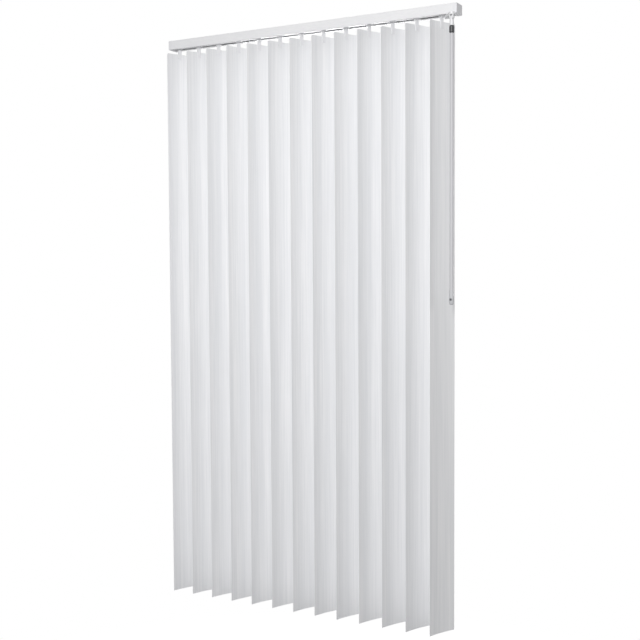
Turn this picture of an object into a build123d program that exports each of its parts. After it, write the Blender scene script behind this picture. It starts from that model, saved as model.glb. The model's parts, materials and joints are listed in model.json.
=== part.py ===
from build123d import *
import math
import os

# A vertical blind: crowned slats hang from carriers in a ceiling rail, and one wand draws and tilts them.
# X runs along the rail, -Y faces the room and +Z is up. The origin is on the ceiling plane, mid-rail.

# The blind as a whole
slat_count = 13
slat_pitch = 70.0
stack_pitch = 16.0
slat_drop = 1660.0
tilt_angle = 65.0
overrun = 2.0

# Slats, a rigid crowned strip each
slat_width = 89.0
slat_thickness = 0.8
slat_crown = 3.0
slat_gap = 14.0
slat_corner = 6.0
slot_width = 13.0
slot_height = 4.0
slot_drop = 8.0
slot_corner = 1.0

# Headrail, one extrusion
rail_depth = 38.0
rail_height = 26.0
rail_wall = 1.4
rail_slot = 14.0
rail_edge = 1.6
track_rib = 1.0
left_overhang = 27.0
right_overhang = 49.0
ceiling_gap = 0.3
groove_depth = 5.0
groove_mouth = 27.0

# Ceiling clips, folded spring steel
clip_count = 2
clip_spacing = 700.0
clip_length = 30.0
clip_sheet = 1.2
clip_hold = 3.0
clip_clearance = 0.2
screw_hole_radius = 2.25

# End caps, hollow, with a plug that fits the rail's chamber
cap_length = 12.0
cap_wall = 2.0
cap_rim = 0.8
cap_edge = 1.0
plug_depth = 6.0
plug_wall = 2.0
plug_clearance = 0.15
bearing_wall = 3.2

# Tilt rod, fluted so that it turns every carrier and lets it slide
rod_radius = 3.25
rod_flutes = 3
flute_radius = 1.3
rod_offset = 10.5
rod_rise = 9.0
journal_radius = 2.5
rod_end_float = 0.5
running_clearance = 0.05

# Carriers
carrier_gap = 1.0
carrier_side_clearance = 0.6
track_clearance = 0.3
roof_clearance = 0.5
shoe_width = 5.0
shoe_height = 1.6
keel_clearance = 0.6
keel_drop = 1.2
carrier_wall = 1.6
channel_wall = 2.2
channel_width = 9.0
carrier_chamfer = 1.0
rod_clearance = 0.35

# Stems with the hook that holds a slat
stem_radius = 3.0
stem_float = 0.1
head_radius = 4.1
head_height = 1.6
collar_radius = 5.6
collar_height = 1.6
hook_width = 10.0
prong_sheet = 1.2
prong_reach = 17.0
prong_lead = 0.5
slit_clearance = 0.15
slit_headroom = 0.4
tooth_height = 3.0
tooth_lip = 1.0
tooth_gap = 0.2
tooth_seat = 0.05

# Spacers, thin strips that set how far apart the carriers draw
spacer_levels = 6
spacer_sheet = 0.4
spacer_level_pitch = 0.95
spacer_width = 7.0
spacer_past_carrier = 1.0
spacer_headroom = 0.5
ear_length = 4.0
ear_depth = 1.2
ear_clearance = 0.1

# Wand arm on the lead carrier
lead_extension = 14.0
arm_root = 14.5
arm_thickness = 6.5
arm_end_radius = 7.0
wand_reach = 42.0
wand_stand_off = 36.0
cheek_sheet = 2.5
cheek_radius = 4.5
pin_drop = 6.5
pin_radius = 1.5
pin_clearance = 0.08

# Wand: swivel, connector, tube and tip
tongue_thickness = 5.6
tongue_clearance = 0.3
tongue_radius = 4.0
swivel_radius = 5.5
swivel_neck = 6.5
swivel_height = 14.5
spindle_radius = 2.4
spindle_length = 9.0
bead_height = 0.5
bead_length = 1.6
turning_gap = 0.3
connector_radius = 6.6
connector_height = 19.0
connector_shoulder = 3.0
connector_lip = 0.7
socket_depth = 13.0
tube_radius = 5.0
tube_bore = 3.8
tube_length = 687.0
push_fit = 0.05
tip_length = 38.0
tip_lip = 0.7
tip_belly_radius = 6.4
tip_belly_length = 14.0
tip_end_radius = 5.2
tip_end_edge = 1.6
tip_socket = 16.0
tip_hole_radius = 1.5
tip_hole_rise = 14.0

# Places along the rail
cap_to_cap = left_overhang + (slat_count - 1) * slat_pitch + right_overhang
rail_length = cap_to_cap - 2 * cap_length
first_axis = left_overhang - cap_to_cap / 2
slat_axes = [first_axis + index * slat_pitch for index in range(slat_count)]
carrier_length = stack_pitch - carrier_gap
plug_face = rail_length / 2 - plug_depth
bearing_length = plug_depth + cap_length - cap_wall

# Heights in the rail
rail_top = -ceiling_gap
rail_bottom = rail_top - rail_height
track_z = rail_bottom + rail_wall
groove_floor = rail_top - groove_depth
chamber_top = groove_floor - rail_wall
chamber_width = rail_depth - 2 * rail_wall
carrier_foot = track_z + track_clearance
carrier_top = chamber_top - roof_clearance
keel_bottom = rail_bottom - keel_drop
rod_z = carrier_foot + rod_rise
rod_bore = rod_radius + rod_clearance
gearbox_top = rod_z + rod_bore + carrier_wall
first_level = head_height + stem_float + spacer_headroom
channel_depth = first_level + spacer_levels * spacer_level_pitch
channel_floor = carrier_top - channel_depth
carrier_width = chamber_width - 2 * carrier_side_clearance
keel_width = rail_slot - 2 * keel_clearance

# Heights of a stem, its hook and the slat
stem_top = channel_floor + stem_float + head_height
collar_top = keel_bottom - stem_float
collar_bottom = collar_top - collar_height
slat_top = rail_bottom - slat_gap
slat_foot = rail_top - slat_drop
slot_top = slat_top - slot_drop
slit_top = slat_top + slit_headroom
slit_width = slat_thickness + 2 * slit_clearance
hook_thickness = slit_width + 2 * prong_sheet
prong_foot = slat_top - prong_reach

# Place and heights of the wand
wand_x = slat_axes[-1] + wand_reach
wand_y = -wand_stand_off
arm_bottom = keel_bottom - arm_thickness
pin_z = arm_bottom - pin_drop
tongue_gap = tongue_thickness + 2 * tongue_clearance
swivel_top = pin_z - swivel_neck
swivel_bottom = swivel_top - swivel_height
connector_top = swivel_bottom - turning_gap
connector_bottom = connector_top - connector_height
tube_top = connector_bottom + socket_depth
tube_foot = tube_top - tube_length
tip_top = tube_foot + tip_socket
tip_bottom = tip_top - tip_length

# Directions of a slat at rest: along its width, and square to its face
turn = math.radians(tilt_angle)
slat_along = (math.cos(turn), math.sin(turn), 0)
slat_across = (-math.sin(turn), math.cos(turn), 0)
slat_facing = (math.sin(turn), -math.cos(turn), 0)


def spacer_height(index):
    """Gives the underside of the spacer that is fixed to the carrier of that index."""
    return channel_floor + first_level + (index % spacer_levels) * spacer_level_pitch


def save(piece, name):
    """Labels a finished piece and writes it to its own file."""
    piece.label = name
    export_step(piece, f"parts/{name}.step")


def make_headrail():
    """Extrudes the rail: a chamber with a slotted floor, and a lipped groove on top for the clips."""
    with BuildPart() as headrail:
        with BuildSketch(Plane.YZ.offset(-rail_length / 2)) as section:
            with Locations((0, rail_top)):
                Rectangle(rail_depth, rail_height, align=(Align.CENTER, Align.MAX))
            fillet(section.vertices(), rail_edge)
            with Locations((0, track_z)):
                Rectangle(
                    chamber_width,
                    chamber_top - track_z,
                    align=(Align.CENTER, Align.MIN),
                    mode=Mode.SUBTRACT,
                )
            with Locations((0, groove_floor)):
                Rectangle(
                    chamber_width,
                    groove_depth - rail_wall,
                    align=(Align.CENTER, Align.MIN),
                    mode=Mode.SUBTRACT,
                )
            with Locations((0, rail_top)):
                Rectangle(groove_mouth, rail_wall, align=(Align.CENTER, Align.MAX), mode=Mode.SUBTRACT)
            with Locations((0, track_z)):
                Rectangle(rail_slot + 2 * rail_wall, track_rib, align=(Align.CENTER, Align.MIN))
            with Locations((0, rail_bottom)):
                Rectangle(
                    rail_slot,
                    rail_wall + track_rib,
                    align=(Align.CENTER, Align.MIN),
                    mode=Mode.SUBTRACT,
                )
        extrude(amount=rail_length)
    return headrail.part


def make_ceiling_clips():
    """Folds the clips: a web against the ceiling, with feet turned out under the rail's lips."""
    web_width = groove_mouth - 2 * clip_clearance
    foot_top = rail_top - rail_wall - clip_clearance
    foot_bottom = foot_top - clip_sheet
    first_clip = -clip_spacing * (clip_count - 1) / 2
    with BuildPart() as ceiling_clips:
        for index in range(clip_count):
            clip_x = first_clip + index * clip_spacing
            with BuildSketch(Plane.YZ.offset(clip_x - clip_length / 2)):
                Rectangle(web_width, -foot_bottom, align=(Align.CENTER, Align.MAX))
                with Locations((0, foot_bottom)):
                    Rectangle(web_width + 2 * clip_hold, clip_sheet, align=(Align.CENTER, Align.MIN))
                with Locations((0, -clip_sheet)):
                    Rectangle(
                        web_width - 2 * clip_sheet,
                        -foot_bottom,
                        align=(Align.CENTER, Align.MAX),
                        mode=Mode.SUBTRACT,
                    )
            extrude(amount=clip_length)
            with BuildSketch(Plane(origin=(clip_x, 0, 0))):
                Circle(screw_hole_radius)
            extrude(amount=-clip_sheet, mode=Mode.SUBTRACT)
    return ceiling_clips.part


def make_end_cap(side):
    """Moulds an end cap: a rounded hollow box, with a plug for the rail and a bearing for the rod."""
    plug_width = chamber_width - 2 * plug_clearance
    plug_foot = track_z + track_rib + plug_clearance
    plug_height = chamber_top - plug_clearance - plug_foot
    with BuildPart() as end_cap:
        with BuildSketch(Plane.YZ.offset(side * rail_length / 2)) as outline:
            with Locations((0, rail_top)):
                Rectangle(
                    rail_depth + 2 * cap_rim,
                    rail_height + cap_rim,
                    align=(Align.CENTER, Align.MAX),
                )
            fillet(outline.vertices(), rail_edge + cap_rim)
        extrude(amount=side * cap_length)
        fillet(end_cap.faces().sort_by(Axis.X)[-1 if side > 0 else 0].edges(), cap_edge)
        with BuildSketch(Plane.YZ.offset(side * plug_face)):
            with Locations((0, plug_foot)):
                Rectangle(plug_width, plug_height, align=(Align.CENTER, Align.MIN))
        extrude(amount=side * plug_depth)
        with BuildSketch(Plane.YZ.offset(side * plug_face)):
            with Locations((0, plug_foot + plug_wall)):
                Rectangle(
                    plug_width - 2 * plug_wall,
                    plug_height - 2 * plug_wall,
                    align=(Align.CENTER, Align.MIN),
                )
            with Locations((rod_offset, rod_z)):
                Circle(journal_radius + bearing_wall, mode=Mode.SUBTRACT)
                Circle(journal_radius + running_clearance)
        extrude(amount=side * bearing_length, mode=Mode.SUBTRACT)
    return end_cap.part


def make_tilt_rod():
    """Draws the fluted rod between the plugs, with a round journal on each end."""
    fluted_half = plug_face - rod_end_float
    journal_half = plug_face + bearing_length - rod_end_float
    with BuildPart() as tilt_rod:
        with BuildSketch(Plane.YZ):
            with Locations((rod_offset, rod_z)):
                Circle(rod_radius)
                with PolarLocations(rod_radius, rod_flutes):
                    Circle(flute_radius, mode=Mode.SUBTRACT)
        extrude(amount=fluted_half, both=True)
        for side in (-1, 1):
            with BuildSketch(Plane.YZ.offset(side * fluted_half)):
                with Locations((rod_offset, rod_z)):
                    Circle(journal_radius)
            extrude(amount=side * (journal_half - fluted_half))
    return tilt_rod.part


def carrier_section(profile_plane):
    """Draws a carrier's section: shoes on the track, a keel in the slot, the spacers' channel on top."""
    with BuildSketch(profile_plane) as section:
        with Locations((0, carrier_foot)):
            Rectangle(carrier_width, gearbox_top - carrier_foot, align=(Align.CENTER, Align.MIN))
            Rectangle(
                carrier_width - 2 * shoe_width,
                shoe_height,
                align=(Align.CENTER, Align.MIN),
                mode=Mode.SUBTRACT,
            )
        with Locations((0, keel_bottom)):
            Rectangle(keel_width, gearbox_top - keel_bottom, align=(Align.CENTER, Align.MIN))
        with Locations((0, carrier_top)):
            Rectangle(
                channel_width + 2 * channel_wall,
                carrier_top - carrier_foot - shoe_height,
                align=(Align.CENTER, Align.MAX),
            )
            Rectangle(
                channel_width,
                channel_depth,
                align=(Align.CENTER, Align.MAX),
                mode=Mode.SUBTRACT,
            )
        with Locations((rod_offset, rod_z)):
            Circle(rod_bore, mode=Mode.SUBTRACT)
    return section.sketch


def make_carrier(index):
    """Moulds a carrier with its stem bore, and the notches that hold its spacer's ears."""
    axis_x = slat_axes[index]
    with BuildPart() as carrier:
        extrude(carrier_section(Plane.YZ.offset(axis_x - carrier_length / 2)), amount=carrier_length)
        chamfer(carrier.edges().filter_by(Axis.Z).group_by(Axis.Y)[0], carrier_chamfer)
        chamfer(carrier.edges().filter_by(Axis.Z).group_by(Axis.Y)[-1], carrier_chamfer)
        with BuildSketch(Plane(origin=(axis_x, 0, keel_bottom))):
            Circle(stem_radius + running_clearance)
        extrude(amount=channel_floor - keel_bottom, mode=Mode.SUBTRACT)
        with BuildSketch(Plane(origin=(axis_x, 0, spacer_height(index) - ear_clearance))):
            Rectangle(
                ear_length + 2 * ear_clearance,
                channel_width + 2 * ear_depth + 2 * ear_clearance,
            )
        extrude(amount=spacer_sheet + 2 * ear_clearance, mode=Mode.SUBTRACT)
    return carrier.part


def make_lead_carrier():
    """Moulds the long lead carrier, with an arm under the rail that ends in a clevis for the wand."""
    axis_x = slat_axes[-1]
    lead_length = carrier_length + lead_extension
    with BuildPart() as lead_carrier:
        extrude(carrier_section(Plane.YZ.offset(axis_x - carrier_length / 2)), amount=lead_length)
        chamfer(lead_carrier.edges().filter_by(Axis.Z).group_by(Axis.Y)[0], carrier_chamfer)
        chamfer(lead_carrier.edges().filter_by(Axis.Z).group_by(Axis.Y)[-1], carrier_chamfer)
        with BuildSketch(Plane(origin=(axis_x, 0, keel_bottom))):
            Circle(stem_radius + running_clearance)
        extrude(amount=channel_floor - keel_bottom, mode=Mode.SUBTRACT)
        with BuildSketch(Plane(origin=(0, 0, keel_bottom))):
            with Locations((axis_x + arm_root, 0)):
                Circle(keel_width / 2)
            with Locations((wand_x, wand_y)):
                Circle(arm_end_radius)
            make_hull()
        extrude(amount=-arm_thickness)
        for side in (-1, 1):
            with BuildSketch(Plane.YZ.offset(wand_x + side * tongue_gap / 2)):
                with Locations((wand_y, pin_z)):
                    Circle(cheek_radius)
                    Rectangle(2 * cheek_radius, pin_drop, align=(Align.CENTER, Align.MIN))
                    Circle(pin_radius + pin_clearance, mode=Mode.SUBTRACT)
            extrude(amount=side * cheek_sheet)
    return lead_carrier.part


def make_stem(index):
    """Moulds a stem: snap head, shaft, collar, and a forked hook with a tooth for the slat's slot."""
    axis_x = slat_axes[index]
    with BuildPart() as stem:
        with BuildSketch(Plane(origin=(axis_x, 0, 0), x_dir=(1, 0, 0), z_dir=(0, -1, 0))):
            with BuildLine():
                Polyline(
                    (0, stem_top),
                    (stem_radius, stem_top),
                    (head_radius, channel_floor + stem_float),
                    (stem_radius, channel_floor + stem_float),
                    (stem_radius, collar_top),
                    (collar_radius, collar_top),
                    (collar_radius, collar_bottom),
                    (0, collar_bottom),
                    close=True,
                )
            make_face()
        revolve(axis=Axis((axis_x, 0, 0), (0, 0, 1)))
        with BuildSketch(Plane(origin=(axis_x, 0, 0), x_dir=slat_across, z_dir=slat_along)):
            with Locations((0, collar_bottom)):
                Rectangle(
                    hook_thickness,
                    collar_bottom - prong_foot,
                    align=(Align.CENTER, Align.MAX),
                )
            with Locations((0, slit_top)):
                Rectangle(
                    slit_width,
                    slit_top - prong_foot,
                    align=(Align.CENTER, Align.MAX),
                    mode=Mode.SUBTRACT,
                )
            with BuildLine():
                Polyline(
                    (-slit_width / 2 - prong_lead, prong_foot),
                    (slit_width / 2 + prong_lead, prong_foot),
                    (slit_width / 2, prong_foot + 2 * prong_lead),
                    (-slit_width / 2, prong_foot + 2 * prong_lead),
                    close=True,
                )
            make_face(mode=Mode.SUBTRACT)
            with BuildLine():
                Polyline(
                    (-slit_width / 2, slot_top - tooth_seat),
                    (slit_width / 2 - tooth_gap, slot_top - tooth_seat),
                    (slit_width / 2 - tooth_gap, slot_top - tooth_seat - tooth_lip),
                    (-slit_width / 2, slot_top - tooth_seat - tooth_height),
                    close=True,
                )
            make_face()
        extrude(amount=hook_width / 2, both=True)
    return stem.part


def make_slat(index):
    """Extrudes a crowned sheet and cuts the slat from it, with round top corners and a hook slot."""
    axis_x = slat_axes[index]
    half_width = slat_width / 2
    half_sheet = slat_thickness / 2
    bow_radius = (half_width**2 + slat_crown**2) / (2 * slat_crown)
    reach = half_width + overrun
    sag = bow_radius - math.sqrt(bow_radius**2 - reach**2)
    sheet_foot = slat_foot - overrun
    sheet_plane = Plane(origin=(axis_x, 0, sheet_foot), x_dir=slat_along, z_dir=(0, 0, 1))
    with BuildPart() as slat:
        with BuildSketch(sheet_plane):
            with BuildLine():
                back = ThreePointArc(
                    (-reach, half_sheet - sag),
                    (0, half_sheet),
                    (reach, half_sheet - sag),
                )
                front = ThreePointArc(
                    (-reach, -half_sheet - sag),
                    (0, -half_sheet),
                    (reach, -half_sheet - sag),
                )
                Line(back @ 0, front @ 0)
                Line(back @ 1, front @ 1)
            make_face()
        extrude(amount=slat_top + overrun - sheet_foot)
        with BuildSketch(Plane(origin=(axis_x, 0, 0), x_dir=slat_along, z_dir=slat_facing)) as outline:
            with Locations((0, slat_foot)):
                Rectangle(slat_width, slat_top - slat_foot, align=(Align.CENTER, Align.MIN))
            fillet(outline.vertices().group_by(Axis.Y)[-1], slat_corner)
            with Locations((0, slot_top - slot_height / 2)):
                RectangleRounded(slot_width, slot_height, slot_corner, mode=Mode.SUBTRACT)
        extrude(amount=sag + slat_thickness + overrun, both=True, mode=Mode.INTERSECT)
    return slat.part


def make_spacer(index):
    """Cuts a spacer strip, held by its ears in one carrier and reaching just past the next."""
    axis_x = slat_axes[index]
    reach = slat_pitch + carrier_length / 2 + spacer_past_carrier
    with BuildPart() as spacer:
        with BuildSketch(Plane(origin=(axis_x, 0, spacer_height(index)))) as outline:
            with Locations((-ear_length / 2, 0)):
                Rectangle(ear_length / 2 + reach, spacer_width, align=(Align.MIN, Align.CENTER))
            fillet(outline.vertices().group_by(Axis.X)[-1], spacer_width / 2 - ear_clearance)
            Rectangle(ear_length, channel_width + 2 * ear_depth)
        extrude(amount=spacer_sheet)
    return spacer.part


def make_wand_swivel():
    """Moulds the swivel: a tongue with its trunnions, and a round body bored for the wand's spindle."""
    bore = spindle_radius + running_clearance
    bore_top = swivel_bottom + spindle_length + turning_gap
    groove_middle = swivel_bottom + spindle_length / 2
    groove_half = bead_length / 2 + stem_float
    with BuildPart() as wand_swivel:
        with BuildSketch(Plane.YZ.offset(wand_x)):
            with Locations((wand_y, pin_z)):
                Circle(tongue_radius)
                Rectangle(
                    2 * tongue_radius,
                    swivel_neck,
                    align=(Align.CENTER, Align.MAX),
                )
        extrude(amount=tongue_thickness / 2, both=True)
        with BuildSketch(Plane.YZ.offset(wand_x)):
            with Locations((wand_y, pin_z)):
                Circle(pin_radius)
        extrude(amount=tongue_gap / 2 + cheek_sheet, both=True)
        with BuildSketch(Plane(origin=(wand_x, wand_y, 0), x_dir=(1, 0, 0), z_dir=(0, -1, 0))):
            with BuildLine():
                Polyline(
                    (0, swivel_top),
                    (swivel_radius, swivel_top),
                    (swivel_radius, swivel_bottom),
                    (bore, swivel_bottom),
                    (bore, groove_middle - groove_half),
                    (bore + bead_height, groove_middle),
                    (bore, groove_middle + groove_half),
                    (bore, bore_top),
                    (0, bore_top),
                    close=True,
                )
            make_face()
        revolve(axis=Axis((wand_x, wand_y, 0), (0, 0, 1)))
    return wand_swivel.part


def make_wand_connector():
    """Turns the connector: a beaded spindle for the swivel, over a barrel with the tube's socket."""
    spindle_top = swivel_bottom + spindle_length
    bead_middle = swivel_bottom + spindle_length / 2
    socket_bore = tube_radius + push_fit
    with BuildPart() as wand_connector:
        with BuildSketch(Plane(origin=(wand_x, wand_y, 0), x_dir=(1, 0, 0), z_dir=(0, -1, 0))):
            with BuildLine():
                Polyline(
                    (0, spindle_top),
                    (spindle_radius, spindle_top),
                    (spindle_radius, bead_middle + bead_length / 2),
                    (spindle_radius + bead_height, bead_middle),
                    (spindle_radius, bead_middle - bead_length / 2),
                    (spindle_radius, connector_top),
                    (socket_bore, connector_top),
                    (connector_radius, connector_top - connector_shoulder),
                    (connector_radius, connector_bottom + connector_shoulder),
                    (socket_bore + connector_lip, connector_bottom),
                    (socket_bore, connector_bottom),
                    (socket_bore, tube_top),
                    (0, tube_top),
                    close=True,
                )
            make_face()
        revolve(axis=Axis((wand_x, wand_y, 0), (0, 0, 1)))
    return wand_connector.part


def make_wand_tube():
    """Extrudes the wand's hollow tube, from the connector's socket down into the tip."""
    with BuildPart() as wand_tube:
        with BuildSketch(Plane(origin=(wand_x, wand_y, tube_foot))):
            Circle(tube_radius)
            Circle(tube_bore, mode=Mode.SUBTRACT)
        extrude(amount=tube_length)
    return wand_tube.part


def make_wand_tip():
    """Turns the tip, tapered both ways from its belly and socketed for the tube, with a cross hole."""
    socket_bore = tube_radius + push_fit
    belly_middle = tip_bottom + tip_hole_rise
    with BuildPart() as wand_tip:
        with BuildSketch(Plane(origin=(wand_x, wand_y, 0), x_dir=(1, 0, 0), z_dir=(0, -1, 0))):
            with BuildLine():
                Polyline(
                    (0, tube_foot),
                    (socket_bore, tube_foot),
                    (socket_bore, tip_top),
                    (socket_bore + tip_lip, tip_top),
                    (tip_belly_radius, belly_middle + tip_belly_length / 2),
                    (tip_belly_radius, belly_middle - tip_belly_length / 2),
                    (tip_end_radius, tip_bottom + tip_end_edge),
                    (tip_end_radius - tip_end_edge, tip_bottom),
                    (0, tip_bottom),
                    close=True,
                )
            make_face()
        revolve(axis=Axis((wand_x, wand_y, 0), (0, 0, 1)))
        with BuildSketch(Plane.XZ.offset(-wand_y)):
            with Locations((wand_x, belly_middle)):
                Circle(tip_hole_radius)
        extrude(amount=tip_belly_radius + overrun, both=True, mode=Mode.SUBTRACT)
    return wand_tip.part


os.makedirs("parts", exist_ok=True)
save(make_headrail(), "headrail")
save(make_ceiling_clips(), "ceiling_clips")
save(make_end_cap(-1), "end_cap_left")
save(make_end_cap(1), "end_cap_right")
save(make_tilt_rod(), "tilt_rod")
for place in range(slat_count):
    number = f"{place + 1:02d}"
    save(make_stem(place), f"stem_{number}")
    save(make_slat(place), f"slat_{number}")
    if place < slat_count - 1:
        save(make_carrier(place), f"carrier_{number}")
        save(make_spacer(place), f"spacer_{number}")
save(make_lead_carrier(), "lead_carrier")
save(make_wand_swivel(), "wand_swivel")
save(make_wand_connector(), "wand_connector")
save(make_wand_tube(), "wand_tube")
save(make_wand_tip(), "wand_tip")
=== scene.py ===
"""Dresses the vertical blind: a finish for every piece, smooth slats, soft studio light and the view.

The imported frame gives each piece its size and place, in metres, with X along the headrail, -Y towards the
room and +Z up. The slats are drawn here as fine crowned strips in the frame's own places, and every other
piece keeps its solid and takes a finish that is worked out from real sizes in millimetres.
"""

import json
import logging
import math
from dataclasses import dataclass
from dataclasses import field
from dataclasses import replace
from enum import Enum

import bmesh
import bpy
from mathutils import Matrix
from mathutils import Vector


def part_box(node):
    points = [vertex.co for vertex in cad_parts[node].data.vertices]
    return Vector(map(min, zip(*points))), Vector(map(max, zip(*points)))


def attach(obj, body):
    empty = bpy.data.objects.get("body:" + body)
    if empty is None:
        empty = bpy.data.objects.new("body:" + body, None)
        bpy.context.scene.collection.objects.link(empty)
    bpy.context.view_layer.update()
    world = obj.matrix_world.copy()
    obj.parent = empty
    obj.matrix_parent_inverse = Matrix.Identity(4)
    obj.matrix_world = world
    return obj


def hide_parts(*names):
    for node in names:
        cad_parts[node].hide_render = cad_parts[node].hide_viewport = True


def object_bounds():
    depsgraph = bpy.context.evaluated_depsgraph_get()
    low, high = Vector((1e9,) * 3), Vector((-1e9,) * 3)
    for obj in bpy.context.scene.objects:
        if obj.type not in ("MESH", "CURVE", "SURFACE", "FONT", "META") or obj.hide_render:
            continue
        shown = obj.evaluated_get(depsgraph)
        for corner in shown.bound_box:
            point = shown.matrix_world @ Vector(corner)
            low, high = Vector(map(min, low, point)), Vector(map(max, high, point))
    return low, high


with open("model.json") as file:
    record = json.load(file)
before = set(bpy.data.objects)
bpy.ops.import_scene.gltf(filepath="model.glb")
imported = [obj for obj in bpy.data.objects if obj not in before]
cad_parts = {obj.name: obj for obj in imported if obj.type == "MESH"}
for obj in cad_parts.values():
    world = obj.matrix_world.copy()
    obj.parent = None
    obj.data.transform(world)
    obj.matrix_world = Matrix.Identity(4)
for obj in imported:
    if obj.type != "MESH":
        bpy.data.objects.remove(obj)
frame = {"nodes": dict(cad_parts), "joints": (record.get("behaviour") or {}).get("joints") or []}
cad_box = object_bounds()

log = logging.getLogger("blind")

MM = 0.001

# The sRGB curve: a straight foot up to the knee, and a power above it.
SRGB_MOST = 255
SRGB_KNEE = 0.04045
SRGB_FOOT = 12.92
SRGB_OFFSET = 0.055
SRGB_POWER = 2.4

# A colour mix's sockets by number, because several of them share a name.
MIX_SHARE = 0
MIX_FIRST = 6
MIX_SECOND = 7
MIX_RESULT = 2

# Scales that flatten a place to the front plane or to the floor.
TO_FRONT = (1.0, 0.0, 1.0)
TO_FLOOR = (1.0, 1.0, 0.0)

# Rows of faces over the height of a slat's slot: a corner, the straight side and a corner.
SLOT_BANDS = 3

Socket = bpy.types.NodeSocket
Tree = bpy.types.NodeTree
Setting = float | str | bool | tuple[float, ...]


class Run(Enum):
    """The way a finish's lines run on a piece, as the axis that they keep to.

    Lines down a strip go by the strip's own places, across and down, and all others by the frame's axes.
    """

    ALONG_RAIL = 0
    DOWN_STRIP = 1
    DOWN_DROP = 2
    NO_WAY = None


def linear(hex_colour: str) -> tuple[float, float, float, float]:
    """Turns an sRGB colour to linear light.

    Args:
        hex_colour: a hash mark and six hex digits.

    Returns:
        Red, green and blue in linear light, and a full alpha.
    """
    lit = []
    for place in (1, 3, 5):
        share = int(hex_colour[place:place + 2], 16) / SRGB_MOST
        if share <= SRGB_KNEE:
            lit.append(share / SRGB_FOOT)
        else:
            lit.append(((share + SRGB_OFFSET) / (1 + SRGB_OFFSET)) ** SRGB_POWER)
    return (lit[0], lit[1], lit[2], 1.0)


def add_node(
    tree: Tree,
    kind: str,
    settings: dict[str | int, Setting] | None = None,
    links: dict[str | int, Socket] | None = None,
) -> bpy.types.Node:
    """Adds a node with its settings and its links.

    Args:
        tree: the node tree that takes the node.
        kind: the node's type.
        settings: values by the name of an option, or by the name or number of an input.
        links: outputs of other nodes, by the name or number of the input that they feed.

    Returns:
        The new node.
    """
    node = tree.nodes.new(kind)
    for key, value in (settings or {}).items():
        if isinstance(key, str) and hasattr(node, key):
            setattr(node, key, value)
        else:
            node.inputs[key].default_value = value
    for key, source in (links or {}).items():
        tree.links.new(source, node.inputs[key])
    return node


@dataclass(frozen=True)
class HoleShadeAndDirt:
    """Painted shade and dark dirt in a hole through a piece, front to back, and round the hole's rim."""

    colour: str
    middle: tuple[float, float, float]
    reach_mm: tuple[float, float]

    def over(self, tree: Tree, clean: Socket) -> Socket:
        """Lays the painted shade and dirt over a clean colour.

        Args:
            tree: the material's node tree.
            clean: the clean colour.

        Returns:
            The colour with the soil on it, which fades out by the distance from the hole's axis.
        """
        place = add_node(tree, "ShaderNodeTexCoord").outputs["Object"]
        moved = add_node(tree, "ShaderNodeVectorMath", {"operation": "SUBTRACT", 1: self.middle}, {0: place})
        flat = add_node(tree, "ShaderNodeMapping", {"Scale": TO_FRONT}, {"Vector": moved.outputs["Vector"]})
        away = add_node(
            tree, "ShaderNodeVectorMath", {"operation": "LENGTH"}, {0: flat.outputs["Vector"]}
        )
        fade = add_node(
            tree,
            "ShaderNodeMapRange",
            {"From Min": self.reach_mm[0] * MM, "From Max": self.reach_mm[1] * MM},
            {"Value": away.outputs["Value"]},
        )
        # Painted shade and dirt: a dark grey mixed into the colour in and round the hole.
        mix = add_node(
            tree,
            "ShaderNodeMix",
            {"data_type": "RGBA", MIX_FIRST: linear(self.colour)},
            {MIX_SHARE: fade.outputs["Result"], MIX_SECOND: clean},
        )
        return mix.outputs[MIX_RESULT]


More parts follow.
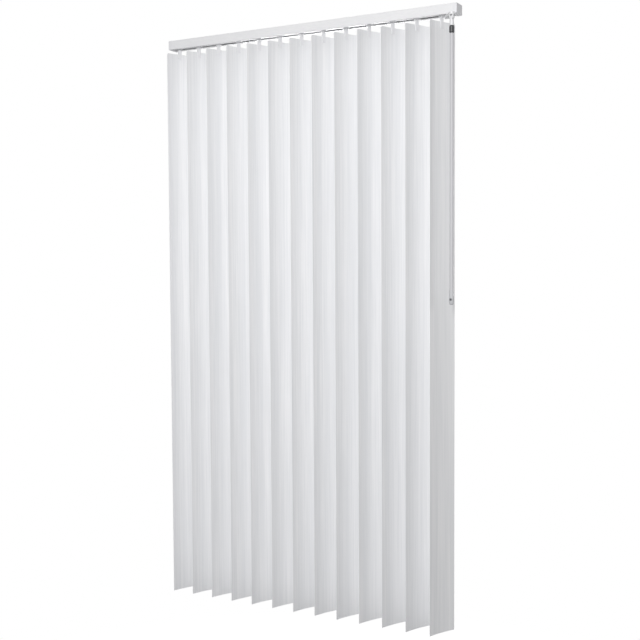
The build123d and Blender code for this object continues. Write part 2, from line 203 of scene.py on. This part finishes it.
@dataclass(frozen=True)
class Finish:
    """A finish: the material, how its surface was made, and the grain that the making left.

    The grain is a fine pattern that shows more in some places than in others, as a broad cloud has it. Both
    are longer along the run than across it, by the stretch.
    """

    name: str
    colour: str
    shade: str
    roughness: float
    grain_mm: float
    relief_mm: float
    run: Run = Run.NO_WAY
    stretch: float = 1.0
    ior: float = 1.5
    metallic: float = 0.0
    roughness_spread: float = 0.06
    grain_detail: float = 3.0
    grain_harshness: float = 0.55
    cloud_mm: float = 60.0
    cloud_detail: float = 2.0
    mark_span: tuple[float, float] = (0.1, 0.4)
    # Painted shade and dirt in a hole, laid over the colour, or none.
    hole_shade_and_dirt: HoleShadeAndDirt | None = None

    def waves(self, size_mm: float) -> tuple[float, float, float]:
        """Gives a pattern's frequency along X, Y and Z, lower along the run.

        Args:
            size_mm: how far apart the pattern's marks are, across the run.

        Returns:
            Waves to the metre along each axis.
        """
        waves = [1 / (size_mm * MM)] * 3
        if self.run is not Run.NO_WAY:
            waves[self.run.value] /= self.stretch
        return (waves[0], waves[1], waves[2])

    def pattern(self, tree: Tree) -> tuple[Socket, Socket]:
        """Draws the grain, and the cloud that brings it out.

        Args:
            tree: the material's node tree.

        Returns:
            The grain's height, and how far the shade gives way to the colour.
        """
        source = "UV" if self.run is Run.DOWN_STRIP else "Object"
        place = add_node(tree, "ShaderNodeTexCoord").outputs[source]
        fine = add_node(tree, "ShaderNodeMapping", {"Scale": self.waves(self.grain_mm)}, {"Vector": place})
        grain = add_node(
            tree,
            "ShaderNodeTexNoise",
            {"Scale": 1.0, "Detail": self.grain_detail, "Roughness": self.grain_harshness},
            {"Vector": fine.outputs["Vector"]},
        )
        broad = add_node(tree, "ShaderNodeMapping", {"Scale": self.waves(self.cloud_mm)}, {"Vector": place})
        cloud = add_node(
            tree,
            "ShaderNodeTexNoise",
            {"Scale": 1.0, "Detail": self.cloud_detail},
            {"Vector": broad.outputs["Vector"]},
        )
        marks = add_node(
            tree,
            "ShaderNodeMath",
            {"operation": "MULTIPLY"},
            {0: grain.outputs["Fac"], 1: cloud.outputs["Fac"]},
        )
        share = add_node(
            tree,
            "ShaderNodeMapRange",
            {"From Min": self.mark_span[0], "From Max": self.mark_span[1]},
            {"Value": marks.outputs["Value"]},
        )
        return grain.outputs["Fac"], share.outputs["Result"]

    def material(self) -> bpy.types.Material:
        """Builds the material: a shader whose colour, gloss and relief follow the grain.

        Returns:
            The material, ready for a piece.
        """
        material = bpy.data.materials.new(self.name)
        material.use_nodes = True
        tree = material.node_tree
        grain, share = self.pattern(tree)
        colour = add_node(
            tree,
            "ShaderNodeMix",
            {"data_type": "RGBA", MIX_FIRST: linear(self.shade), MIX_SECOND: linear(self.colour)},
            {MIX_SHARE: share},
        )
        gloss = add_node(
            tree,
            "ShaderNodeMapRange",
            {
                "To Min": self.roughness - self.roughness_spread,
                "To Max": self.roughness + self.roughness_spread,
            },
            {"Value": grain},
        )
        relief = add_node(
            tree,
            "ShaderNodeBump",
            {"Strength": 1.0, "Distance": self.relief_mm * MM},
            {"Height": grain},
        )
        shown = colour.outputs[MIX_RESULT]
        # Lays the painted shade and dirt of a hole over the colour.
        if self.hole_shade_and_dirt:
            shown = self.hole_shade_and_dirt.over(tree, shown)
        shader = tree.nodes["Principled BSDF"]
        shader.inputs["Metallic"].default_value = self.metallic
        shader.inputs["IOR"].default_value = self.ior
        tree.links.new(shown, shader.inputs["Base Color"])
        tree.links.new(gloss.outputs["Result"], shader.inputs["Roughness"])
        tree.links.new(relief.outputs["Normal"], shader.inputs["Normal"])
        return material


# White PVC, extruded and embossed: the eye gets a soft satin white, with faint streaks down the drop.
# The streaks are 0.5 mm apart, too fine to show, so they are drawn 5 mm apart.
SLAT_PVC = Finish(
    name="white_pvc_extruded_embossed",
    colour="#F4F4F5",
    shade="#E6E7E9",
    roughness=0.46,
    grain_mm=5.0,
    relief_mm=0.035,
    run=Run.DOWN_STRIP,
    stretch=60.0,
    ior=1.53,
    cloud_mm=25.0,
)

# Aluminium, extruded and powder coated: an even white with a low sheen and a little orange peel, which is
# 1 mm across and is drawn at 3 mm.
RAIL_COAT = Finish(
    name="white_powder_coat_on_extruded_aluminium",
    colour="#EDEDEE",
    shade="#E7E7E9",
    roughness=0.38,
    grain_mm=3.0,
    relief_mm=0.02,
    run=Run.ALONG_RAIL,
    stretch=4.0,
)

# ABS, injection moulded in a spark-eroded tool: a greyer, duller white than the rail's coat. The tool's
# pits are 0.2 mm across and are drawn at 1.2 mm.
CAP_ABS = Finish(
    name="white_abs_moulded_spark_eroded",
    colour="#EAEAEC",
    shade="#E3E3E6",
    roughness=0.52,
    grain_mm=1.2,
    relief_mm=0.006,
    ior=1.54,
)

# Acetal, moulded: a waxy milk white that shines a little where it runs, with flow marks 1 to 2 mm across.
CARRIER_ACETAL = Finish(
    name="white_acetal_moulded",
    colour="#E9E9EA",
    shade="#E1E1E3",
    roughness=0.34,
    grain_mm=1.6,
    relief_mm=0.012,
    ior=1.48,
)

# The same acetal in a thin moulding: a little whiter, with finer flow marks.
STEM_ACETAL = Finish(
    name="white_acetal_moulded_stem",
    colour="#EEEEF0",
    shade="#E6E6E8",
    roughness=0.32,
    grain_mm=1.2,
    relief_mm=0.01,
    ior=1.48,
)

# Spring steel, cold rolled: a cool grey mirror, drawn out into lines by the rolls. The lines are 0.1 mm
# apart and are drawn at 0.8 mm.
SPACER_STEEL = Finish(
    name="spring_steel_cold_rolled",
    colour="#C4C6C9",
    shade="#A9ABAF",
    roughness=0.26,
    grain_mm=0.8,
    relief_mm=0.004,
    run=Run.ALONG_RAIL,
    stretch=40.0,
    metallic=1.0,
)

# Aluminium, extruded and left bare: pale metal with fine die lines along the rod, which are 0.1 mm apart
# and are drawn at 0.6 mm.
ROD_ALUMINIUM = Finish(
    name="bare_aluminium_extruded",
    colour="#D9DADB",
    shade="#BEBFC2",
    roughness=0.3,
    grain_mm=0.6,
    relief_mm=0.005,
    run=Run.ALONG_RAIL,
    stretch=50.0,
    metallic=1.0,
)

# Steel, pressed and zinc plated: blue-grey metal, dull, with pale and dark clouds 2 to 3 mm across.
CLIP_ZINC = Finish(
    name="steel_pressed_zinc_plated",
    colour="#BFC3C8",
    shade="#9EA3AA",
    roughness=0.42,
    grain_mm=2.5,
    relief_mm=0.006,
    metallic=1.0,
)

# Acetal, moulded dark grey: nearly black, with a soft shine on its round edges and flow marks 1 mm across.
CONNECTOR_ACETAL = Finish(
    name="dark_grey_acetal_moulded",
    colour="#3C3D40",
    shade="#323336",
    roughness=0.36,
    grain_mm=1.0,
    relief_mm=0.01,
    ior=1.48,
)

# PVC, extruded as a tube: light grey and dull, with faint lines down its length. The lines are 0.3 mm
# apart and are drawn at 1.5 mm.
WAND_PVC = Finish(
    name="light_grey_pvc_extruded_tube",
    colour="#CFCFD2",
    shade="#C7C7CA",
    roughness=0.56,
    grain_mm=1.5,
    relief_mm=0.008,
    run=Run.DOWN_DROP,
    stretch=60.0,
    ior=1.53,
)

# PVC, moulded: a shade darker than the tube and more of a satin, with flow marks 1 mm across.
TIP_PVC = Finish(
    name="light_grey_pvc_moulded",
    colour="#CACBCE",
    shade="#C1C2C5",
    roughness=0.36,
    grain_mm=1.2,
    relief_mm=0.01,
    ior=1.53,
)


@dataclass
class Dressing:
    """A set of the frame's own pieces that share one finish."""

    nodes: list[str]
    finish: Finish

    def dress(self) -> None:
        """Gives every piece of the set the finish, and reports it."""
        material = self.finish.material()
        for name in self.nodes:
            slots = frame["nodes"][name].data.materials
            slots.clear()
            slots.append(material)
            log.info("%s: %s", name, self.finish.name)


def numbered(name: str, count: int) -> list[str]:
    """Gives the names of a row of like pieces, numbered from 01."""
    return [f"{name}_{place:02d}" for place in range(1, count + 1)]


@dataclass
class Headrail:
    """The rail, its end caps and the clips that hold it to the ceiling."""

    rail_finish: Finish = RAIL_COAT
    cap_finish: Finish = CAP_ABS
    clip_finish: Finish = CLIP_ZINC

    def dress(self) -> None:
        """Gives the rail its coat, the caps their plastic and the clips their plating."""
        Dressing(["headrail"], self.rail_finish).dress()
        Dressing(["end_cap_left", "end_cap_right"], self.cap_finish).dress()
        Dressing(["ceiling_clips"], self.clip_finish).dress()


@dataclass
class Carriers:
    """What runs in the rail: the carriers with their stems, the spacers and the tilt rod."""

    count: int
    carrier_finish: Finish = CARRIER_ACETAL
    stem_finish: Finish = STEM_ACETAL
    spacer_finish: Finish = SPACER_STEEL
    rod_finish: Finish = ROD_ALUMINIUM

    def dress(self) -> None:
        """Gives the moulded pieces their plastic, and the strips and the rod their metal."""
        Dressing([*numbered("carrier", self.count - 1), "lead_carrier"], self.carrier_finish).dress()
        Dressing(numbered("stem", self.count), self.stem_finish).dress()
        Dressing(numbered("spacer", self.count - 1), self.spacer_finish).dress()
        Dressing(["tilt_rod"], self.rod_finish).dress()


@dataclass
class Wand:
    """The wand: a white swivel, a dark connector, a grey tube and its tip, with painted shade and dirt in
    its cord hole.
    """

    hole_rise: float = 14 * MM
    # Painted shade and dirt in the tip's cord hole: its dark grey, and how far it reaches from the hole's
    # axis.
    hole_shade_and_dirt_colour: str = "#55565A"
    hole_shade_and_dirt_reach_mm: tuple[float, float] = (1.6, 5.0)
    swivel_finish: Finish = CARRIER_ACETAL
    connector_finish: Finish = CONNECTOR_ACETAL
    tube_finish: Finish = WAND_PVC
    tip_finish: Finish = TIP_PVC

    def painted_hole_shade_and_dirt(self) -> HoleShadeAndDirt:
        """Gives the painted shade and dirt in the tip's cord hole, which stands a little above the tip's
        foot.

        Returns:
            The painted shade and dirt, with its middle on the hole's axis.
        """
        low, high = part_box("wand_tip")
        middle = (low + high) / 2
        return HoleShadeAndDirt(self.hole_shade_and_dirt_colour, (middle.x, middle.y, low.z + self.hole_rise), self.hole_shade_and_dirt_reach_mm)

    def dress(self) -> None:
        """Gives the swivel white plastic, the connector dark plastic, and the tube and tip their grey."""
        Dressing(["wand_swivel"], self.swivel_finish).dress()
        Dressing(["wand_connector"], self.connector_finish).dress()
        Dressing(["wand_tube"], self.tube_finish).dress()
        Dressing(["wand_tip"], replace(self.tip_finish, hole_shade_and_dirt=self.painted_hole_shade_and_dirt())).dress()


@dataclass
class Slats:
    """The crowned strips, each drawn smooth in the place of the frame's slat."""

    count: int
    width: float = 89 * MM
    thickness: float = 0.8 * MM
    crown: float = 3 * MM
    tilt: float = math.radians(65)
    corner: float = 6 * MM
    slot_width: float = 13 * MM
    slot_height: float = 4 * MM
    slot_drop: float = 8 * MM
    slot_corner: float = 1 * MM
    edge: float = 0.2 * MM
    same_place: float = 0.002 * MM
    edge_steps: int = 2
    corner_steps: int = 6
    side_steps: int = 12
    slot_steps: int = 4
    drop_steps: int = 28
    sharp_angle: float = math.radians(50)
    pattern_step: float = 0.37
    finish: Finish = SLAT_PVC
    pieces: list[bpy.types.Object] = field(default_factory=list)

    def across(self) -> list[float]:
        """Gives the places of the columns from edge to edge, closer at the corners and at the slot.

        Returns:
            Places across the strip, from its middle, in order.
        """
        half = self.width / 2
        slot = self.slot_width / 2
        inner = slot - self.slot_corner
        flat = half - self.corner
        middle = [inner * step / self.slot_steps for step in range(self.slot_steps + 1)]
        side = [slot + (flat - slot) * step / self.side_steps for step in range(self.side_steps)]
        turns = [math.pi / 2 * step / self.corner_steps for step in range(self.corner_steps + 1)]
        round_end = [flat + self.corner * math.sin(turn) for turn in turns]
        right = middle + side + round_end
        return [-place for place in reversed(right[1:])] + right

    def bow(self, place: float) -> float:
        """Gives how far the crown falls back at a place across the strip.

        Args:
            place: the place, from the strip's middle.

        Returns:
            The distance from the crown's top, which is nought or less.
        """
        half = self.width / 2
        radius = (half**2 + self.crown**2) / (2 * self.crown)
        return math.sqrt(radius**2 - place**2) - radius

    def top_at(self, place: float, top: float) -> float:
        """Gives the height of the top edge at a place across the strip, lower at the round corners."""
        past = max(0.0, abs(place) - (self.width / 2 - self.corner))
        return top - self.corner + math.sqrt(max(0.0, self.corner**2 - past**2))

    def heights(self, foot: float, top: float) -> list[float]:
        """Gives the heights of the rows from the foot to the slot's upper edge.

        Args:
            foot: the height of the strip's foot.
            top: the height of its top edge.

        Returns:
            Heights in order, the last four of them at the slot's edges and corners.
        """
        slot_top = top - self.slot_drop
        slot_foot = slot_top - self.slot_height
        drop = [foot + (slot_foot - foot) * step / self.drop_steps for step in range(self.drop_steps)]
        return drop + [
            slot_foot,
            slot_foot + self.slot_corner,
            slot_top - self.slot_corner,
            slot_top,
        ]

    def point(self, place: float, height: float, foot: float, top: float) -> tuple[float, float]:
        """Rounds the slot's corners by moving their points into the slot.

        Args:
            place: the point's place across the strip.
            height: its height.
            foot: the height of the slot's lower edge.
            top: the height of the slot's upper edge.

        Returns:
            The place and the height that the point takes.
        """
        slip = self.slot_corner * (1 - math.sqrt(0.5))
        at_side = math.isclose(abs(place), self.slot_width / 2, abs_tol=self.same_place)
        if at_side and math.isclose(height, top, abs_tol=self.same_place):
            return math.copysign(abs(place) - slip, place), height - slip
        if at_side and math.isclose(height, foot, abs_tol=self.same_place):
            return math.copysign(abs(place) - slip, place), height + slip
        return place, height

    def in_slot(self, place: float, row: int) -> bool:
        """Tells whether a face at a place across the strip, in a row of faces, falls in the slot."""
        in_rows = self.drop_steps <= row < self.drop_steps + SLOT_BANDS
        return in_rows and abs(place) < self.slot_width / 2

    def skin(self, axis: Vector, foot: float, top: float, shift: float) -> bpy.types.Mesh:
        """Draws the strip's middle skin as a grid with the punched slot left open.

        Args:
            axis: the point that the strip turns about.
            foot: the height of the strip's foot.
            top: the height of its top edge.
            shift: how far the finish's pattern is moved, so that no two strips look the same.

        Returns:
            The open mesh, with its places across and down kept as UV in metres.
        """
        along = Vector((math.cos(self.tilt), math.sin(self.tilt), 0))
        back = Vector((-math.sin(self.tilt), math.cos(self.tilt), 0))
        columns = self.across()
        rows = self.heights(foot, top)
        slot_top = rows[-1]
        slot_foot = slot_top - self.slot_height
        draft = bmesh.new()
        layer = draft.loops.layers.uv.new("strip")
        flat: dict[bmesh.types.BMVert, tuple[float, float]] = {}
        grid: list[list[bmesh.types.BMVert]] = []
        for column in columns:
            crest = self.top_at(column, top)
            line = []
            for row in rows + [(slot_top + crest) / 2, crest]:
                place, height = self.point(column, row, slot_foot, slot_top)
                spot = Vector((axis.x, axis.y, height)) + along * place + back * self.bow(place)
                vertex = draft.verts.new(spot)
                flat[vertex] = (place + shift, height)
                line.append(vertex)
            grid.append(line)
        for column, (line, beside) in enumerate(zip(grid, grid[1:])):
            middle = (columns[column] + columns[column + 1]) / 2
            for row in range(len(line) - 1):
                if self.in_slot(middle, row):
                    continue
                face = draft.faces.new((line[row], beside[row], beside[row + 1], line[row + 1]))
                for loop in face.loops:
                    loop[layer].uv = flat[loop.vert]
        mesh = bpy.data.meshes.new("strip")
        draft.to_mesh(mesh)
        draft.free()
        return mesh

    def thicken(self, name: str, skin: bpy.types.Mesh) -> bpy.types.Object:
        """Gives the skin its thickness and eased edges, and bakes them into a mesh.

        Args:
            name: the name of the finished piece.
            skin: the strip's middle skin.

        Returns:
            The finished strip, with no modifier left on it.
        """
        rough = bpy.data.objects.new("strip", skin)
        bpy.context.scene.collection.objects.link(rough)
        sheet = rough.modifiers.new("sheet", "SOLIDIFY")
        sheet.thickness = self.thickness
        sheet.offset = 0
        ease = rough.modifiers.new("ease", "BEVEL")
        ease.width = self.edge
        ease.segments = self.edge_steps
        ease.limit_method = "ANGLE"
        ease.angle_limit = self.sharp_angle
        even = rough.modifiers.new("even", "WEIGHTED_NORMAL")
        even.keep_sharp = True
        for face in skin.polygons:
            face.use_smooth = True
        graph = bpy.context.evaluated_depsgraph_get()
        mesh = bpy.data.meshes.new_from_object(rough.evaluated_get(graph))
        bpy.data.objects.remove(rough)
        strip = bpy.data.objects.new(name, mesh)
        bpy.context.scene.collection.objects.link(strip)
        return strip

    def build(self) -> None:
        """Draws every strip about its vane's axis, and hides the solid that it stands for."""
        axes = {joint["child"]: Vector(joint["pos_m"]) for joint in frame["joints"] if "pos_m" in joint}
        for place, node in enumerate(numbered("slat", self.count)):
            body = node.replace("slat", "vane")
            low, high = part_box(node)
            skin = self.skin(axes[body], low.z, high.z, place * self.pattern_step)
            strip = self.thicken(f"strip_{place + 1:02d}", skin)
            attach(strip, body)
            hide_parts(node)
            self.pieces.append(strip)

    def dress(self) -> None:
        """Gives every strip its finish, and reports it."""
        material = self.finish.material()
        for strip in self.pieces:
            strip.data.materials.clear()
            strip.data.materials.append(material)
            log.info("%s: %s, %d faces", strip.name, self.finish.name, len(strip.data.polygons))


@dataclass(frozen=True)
class SoftBox:
    """A lamp behind a diffuser, hung at a place and turned to a point of the blind."""

    name: str
    place: tuple[float, float, float]
    watts: float
    aim: tuple[float, float, float] = (0.0, 0.0, -0.8)
    size: float = 1.0

    def hang(self) -> None:
        """Hangs the lamp and turns it to its aim."""
        lamp = bpy.data.lights.new(self.name, "AREA")
        lamp.shape = "SQUARE"
        lamp.size = self.size
        lamp.energy = self.watts
        hung = bpy.data.objects.new(self.name, lamp)
        hung.location = self.place
        hung.rotation_euler = (Vector(self.aim) - Vector(self.place)).to_track_quat("-Z", "Y").to_euler()
        bpy.context.scene.collection.objects.link(hung)


@dataclass
class Studio:
    """A white studio with soft light all round, and the view of the blind from its right."""

    floor_drop: float = 0.75
    floor_size: float = 40.0
    floor_colour: str = "#7A7A7C"
    white: str = "#FFFFFF"
    white_glow: float = 1.0
    fill: float = 0.32
    shadow_glow: float = 0.8
    shadow_colour: str = "#C8C8CA"
    shadow_reach: tuple[float, float] = (0.8, 2.2)
    lens: float = 58.0
    sensor: float = 36.0
    eye: tuple[float, float, float] = (1.4352, -2.5433, -0.6734)
    yaw: float = math.radians(28.704)
    pitch: float = math.radians(3.013)
    roll: float = math.radians(0.311)
    lamps: tuple[SoftBox, ...] = (
        SoftBox("front", place=(0.9, -3.2, 0.3), watts=83.0),
        SoftBox("right", place=(3.3, 0.0, -0.2), watts=10.0),
        SoftBox("back_right", place=(1.65, 3.2, -0.3), watts=11.0),
        SoftBox("back", place=(0.0, 3.2, -0.3), watts=35.0),
        SoftBox("back_left", place=(-1.65, 3.2, -0.2), watts=57.0),
    )

    def seen(self, tree: Tree) -> Socket:
        """Finds the rays that show the background: to the camera, in a reflection or through glass.

        Args:
            tree: the node tree of the world or the floor.

        Returns:
            1 on such rays, and 0 on rays that only carry light.
        """
        path = add_node(tree, "ShaderNodeLightPath")
        first = add_node(
            tree,
            "ShaderNodeMath",
            {"operation": "MAXIMUM"},
            {0: path.outputs["Is Camera Ray"], 1: path.outputs["Is Glossy Ray"]},
        )
        both = add_node(
            tree,
            "ShaderNodeMath",
            {"operation": "MAXIMUM"},
            {0: first.outputs["Value"], 1: path.outputs["Is Transmission Ray"]},
        )
        return both.outputs["Value"]

    def light_world(self) -> None:
        """Sets a plain fill all round, which shows as white."""
        world = bpy.data.worlds.new("studio")
        bpy.context.scene.world = world
        world.use_nodes = True
        tree = world.node_tree
        tree.nodes.clear()
        white = linear(self.white)
        fill = add_node(tree, "ShaderNodeBackground", {"Color": white, "Strength": self.fill})
        shown = add_node(tree, "ShaderNodeBackground", {"Color": white, "Strength": self.white_glow})
        mix = add_node(
            tree,
            "ShaderNodeMixShader",
            None,
            {0: self.seen(tree), 1: fill.outputs["Background"], 2: shown.outputs["Background"]},
        )
        add_node(tree, "ShaderNodeOutputWorld", None, {"Surface": mix.outputs["Shader"]})

    def floor_material(self) -> bpy.types.Material:
        """Makes the floor's finish: mid grey to the light, and white with a faint shadow to the eye.

        Returns:
            The material, whose shadow fades out away from the blind.
        """
        material = bpy.data.materials.new("studio_floor_matt")
        material.use_nodes = True
        tree = material.node_tree
        tree.nodes.clear()
        white = linear(self.white)
        matt = add_node(tree, "ShaderNodeBsdfDiffuse", {"Color": linear(self.floor_colour)})
        glow = add_node(tree, "ShaderNodeEmission", {"Color": white, "Strength": self.shadow_glow})
        faint = add_node(tree, "ShaderNodeBsdfDiffuse", {"Color": linear(self.shadow_colour)})
        near = add_node(
            tree,
            "ShaderNodeAddShader",
            None,
            {0: glow.outputs["Emission"], 1: faint.outputs["BSDF"]},
        )
        far = add_node(tree, "ShaderNodeEmission", {"Color": white, "Strength": self.white_glow})
        place = add_node(tree, "ShaderNodeTexCoord").outputs["Object"]
        level = add_node(tree, "ShaderNodeMapping", {"Scale": TO_FLOOR}, {"Vector": place})
        away = add_node(
            tree, "ShaderNodeVectorMath", {"operation": "LENGTH"}, {0: level.outputs["Vector"]}
        )
        fade = add_node(
            tree,
            "ShaderNodeMapRange",
            {
                "interpolation_type": "SMOOTHSTEP",
                "From Min": self.shadow_reach[0],
                "From Max": self.shadow_reach[1],
            },
            {"Value": away.outputs["Value"]},
        )
        shown = add_node(
            tree,
            "ShaderNodeMixShader",
            None,
            {0: fade.outputs["Result"], 1: near.outputs["Shader"], 2: far.outputs["Emission"]},
        )
        mix = add_node(
            tree,
            "ShaderNodeMixShader",
            None,
            {0: self.seen(tree), 1: matt.outputs["BSDF"], 2: shown.outputs["Shader"]},
        )
        add_node(tree, "ShaderNodeOutputMaterial", None, {"Surface": mix.outputs["Shader"]})
        return material

    def lay_floor(self) -> None:
        """Lays the floor well below the blind, which hangs."""
        foot = cad_box[0].z - self.floor_drop
        half = self.floor_size / 2
        mesh = bpy.data.meshes.new("floor")
        corners = [(-half, -half, foot), (half, -half, foot), (half, half, foot), (-half, half, foot)]
        mesh.from_pydata(corners, [], [(0, 1, 2, 3)])
        floor = bpy.data.objects.new("floor", mesh)
        bpy.context.scene.collection.objects.link(floor)
        mesh.materials.append(self.floor_material())

    def set_camera(self) -> None:
        """Sets the camera to the right of the blind, a little above mid-height, looking a little down."""
        ahead = Vector((-math.sin(self.yaw), math.cos(self.yaw), 0))
        level = Vector((math.cos(self.yaw), math.sin(self.yaw), 0))
        rise = Vector((0, 0, 1))
        forward = ahead * math.cos(self.pitch) - rise * math.sin(self.pitch)
        upward = rise * math.cos(self.pitch) + ahead * math.sin(self.pitch)
        right = level * math.cos(self.roll) - upward * math.sin(self.roll)
        up = level * math.sin(self.roll) + upward * math.cos(self.roll)
        data = bpy.data.cameras.new("view")
        data.lens = self.lens
        data.sensor_width = self.sensor
        camera = bpy.data.objects.new("view", data)
        turn = Matrix((right, up, -forward)).transposed()
        camera.matrix_world = Matrix.Translation(self.eye) @ turn.to_4x4()
        bpy.context.scene.collection.objects.link(camera)
        bpy.context.scene.camera = camera

    def build(self) -> None:
        """Sets the world, the floor, the lamps, the camera and the plain view transform."""
        self.light_world()
        self.lay_floor()
        for lamp in self.lamps:
            lamp.hang()
        self.set_camera()
        bpy.context.scene.view_settings.view_transform = "Standard"


def main() -> None:
    """Builds and dresses the blind from the rail down, and sets up the studio."""
    logging.basicConfig(level=logging.INFO, format="%(message)s")
    count = sum(1 for name in frame["nodes"] if name.startswith("slat_"))
    Headrail().dress()
    Carriers(count).dress()
    slats = Slats(count)
    slats.build()
    slats.dress()
    Wand().dress()
    Studio().build()


if __name__ == "__main__":
    main()
